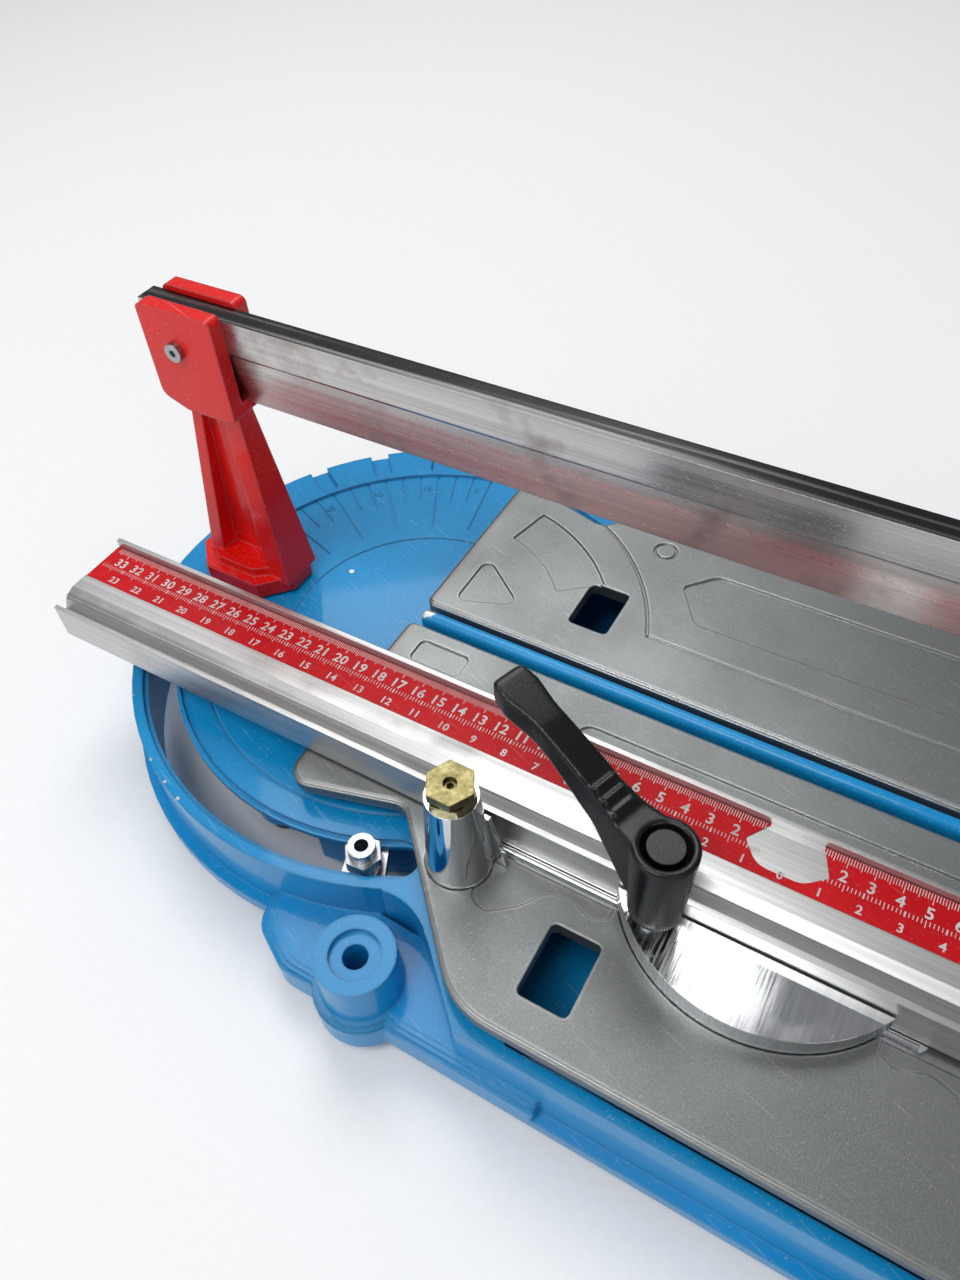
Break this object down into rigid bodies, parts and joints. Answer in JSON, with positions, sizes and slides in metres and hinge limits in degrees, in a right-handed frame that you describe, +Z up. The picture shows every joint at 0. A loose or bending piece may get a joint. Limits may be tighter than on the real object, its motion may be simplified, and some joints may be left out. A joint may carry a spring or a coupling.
{
  "type": "manual tile cutter",
  "caption": "Manual rail tile cutter: cast base with round angle dial, two sprung tables, sliding rule with clamp lever, and a scoring carriage.",
  "frame": {"origin": "on the floor, under the middle of the footprint of the base", "axes": "+X along the rail towards the far support, +Y away from the rule, +Z up"},
  "size_m": [1.001, 0.3518, 0.3434],
  "materials": {
    "base_paint": "glossy blue enamel",
    "support_paint": "glossy red enamel",
    "rail_steel": "ground steel",
    "screw_steel": "plain steel",
    "zinc_steel": "bright zinc plate",
    "yellow_zinc": "yellow zinc plate",
    "foot_rubber": "matt",
    "table_cast": "fine sand finish",
    "spring_steel": "oiled wire",
    "carrier_chrome": "polished",
    "rule_aluminium": "brushed",
    "scale_film": "printed film",
    "lever_plastic": "satin black",
    "carriage_cast": "cast",
    "pad_nylon": "nylon",
    "bearing_steel": "ground",
    "tube_chrome": "bright",
    "grip_rubber": "ribbed",
    "foot_paint": "black"
  },
  "bodies": {
    "base": {"base_casting": "base_paint", "front_rail_support": "support_paint", "rear_rail_support": "support_paint", "rail": "rail_steel", "rail_screws": "screw_steel", "rail_nuts": "zinc_steel", "support_bolts": "screw_steel", "rubber_feet": "foot_rubber", "near_springs": "spring_steel", "far_springs": "spring_steel"},
    "near_side": {"near_table": "table_cast", "near_stop_screws": "screw_steel", "fence_carrier": "carrier_chrome", "carrier_screws": "screw_steel", "post_nut": "yellow_zinc", "grub_screw": "yellow_zinc"},
    "far_side": {"far_table": "table_cast", "far_stop_screws": "screw_steel"},
    "rule": {"fence_bar": "rule_aluminium", "scale_strip": "scale_film"},
    "lever": {"clamp_lever": "lever_plastic", "lever_stud": "screw_steel"},
    "button": {"lever_button": "lever_plastic"},
    "collar_nut": {"slot_nut": "zinc_steel", "slot_slider": "zinc_steel"},
    "carriage": {"carriage_body": "carriage_cast", "glide_pads": "pad_nylon", "roller_axles": "screw_steel", "pivot_screws": "screw_steel"},
    "roller_tf": {"top_front_roller": "bearing_steel"},
    "roller_tr": {"top_rear_roller": "bearing_steel"},
    "roller_lf": {"low_front_roller": "bearing_steel"},
    "roller_lr": {"low_rear_roller": "bearing_steel"},
    "handle": {"handle_yoke": "support_paint", "handle_tube": "tube_chrome", "handle_grip": "grip_rubber", "wheel_holder": "carriage_cast", "holder_screw": "screw_steel", "wheel_axle": "screw_steel", "foot_pin": "screw_steel"},
    "cutting_wheel": {"scoring_wheel": "bearing_steel"},
    "breaker": {"breaker_foot": "foot_paint"}
  },
  "joints": [
    {"name": "near_table_press", "type": "slide", "parent": "base", "child": "near_side", "axis": [0, 0, 1], "range_m": [-0.002, 0], "stiffness_N_per_m": 30000, "springref_m": 0.004, "deforming": ["near_springs"]},
    {"name": "far_table_press", "type": "slide", "parent": "base", "child": "far_side", "axis": [0, 0, 1], "range_m": [-0.002, 0], "stiffness_N_per_m": 30000, "springref_m": 0.004, "deforming": ["far_springs"]},
    {"name": "rule_slide", "type": "slide", "parent": "near_side", "child": "rule", "axis": [1, 0, 0], "range_m": [-0.08, 0.08]},
    {"name": "lever_turn", "type": "hinge", "parent": "near_side", "child": "lever", "pos_m": [-0.191, -0.0985, 0.0813], "axis": [0, 0, 1], "range_deg": [-40, 60]},
    {"name": "button_press", "type": "slide", "parent": "lever", "child": "button", "axis": [0, 0, 1], "range_m": [-0.002, 0], "stiffness_N_per_m": 300, "springref_m": 0.002},
    {"name": "collar_nut_travel", "type": "hinge", "parent": "base", "child": "collar_nut", "pos_m": [-0.3545, 0, 0.0456], "axis": [0, 0, 1], "range_deg": [-94, 4]},
    {"name": "carriage_slide", "type": "slide", "parent": "base", "child": "carriage", "axis": [1, 0, 0], "range_m": [-0.56, 0.13]},
    {"name": "handle_press", "type": "hinge", "parent": "carriage", "child": "handle", "pos_m": [0.2055, 0, 0.181], "axis": [0, 1, 0], "range_deg": [-42, 0]},
    {"name": "wheel_spin", "type": "hinge", "parent": "handle", "child": "cutting_wheel", "pos_m": [0.2055, 0, 0.0735], "axis": [0, 1, 0], "continuous": true},
    {"name": "breaker_rock", "type": "hinge", "parent": "handle", "child": "breaker", "pos_m": [0.2435, 0, 0.0799], "axis": [0, 1, 0], "range_deg": [-4, 4]},
    {"name": "roller_tf_spin", "type": "hinge", "parent": "carriage", "child": "roller_tf", "pos_m": [0.1675, 0, 0.2083], "axis": [0, 1, 0], "continuous": true},
    {"name": "roller_tr_spin", "type": "hinge", "parent": "carriage", "child": "roller_tr", "pos_m": [0.2435, 0, 0.2083], "axis": [0, 1, 0], "continuous": true},
    {"name": "roller_lf_spin", "type": "hinge", "parent": "carriage", "child": "roller_lf", "pos_m": [0.1675, 0, 0.1497], "axis": [0, 1, 0], "continuous": true},
    {"name": "roller_lr_spin", "type": "hinge", "parent": "carriage", "child": "roller_lr", "pos_m": [0.2435, 0, 0.1497], "axis": [0, 1, 0], "continuous": true}
  ],
  "couplings": [
    {"joint": "roller_tf_spin", "follows": "carriage_slide", "rad_per_m": 111.11},
    {"joint": "roller_tr_spin", "follows": "carriage_slide", "rad_per_m": 111.11},
    {"joint": "roller_lf_spin", "follows": "carriage_slide", "rad_per_m": -111.11},
    {"joint": "roller_lr_spin", "follows": "carriage_slide", "rad_per_m": -111.11}
  ]
}
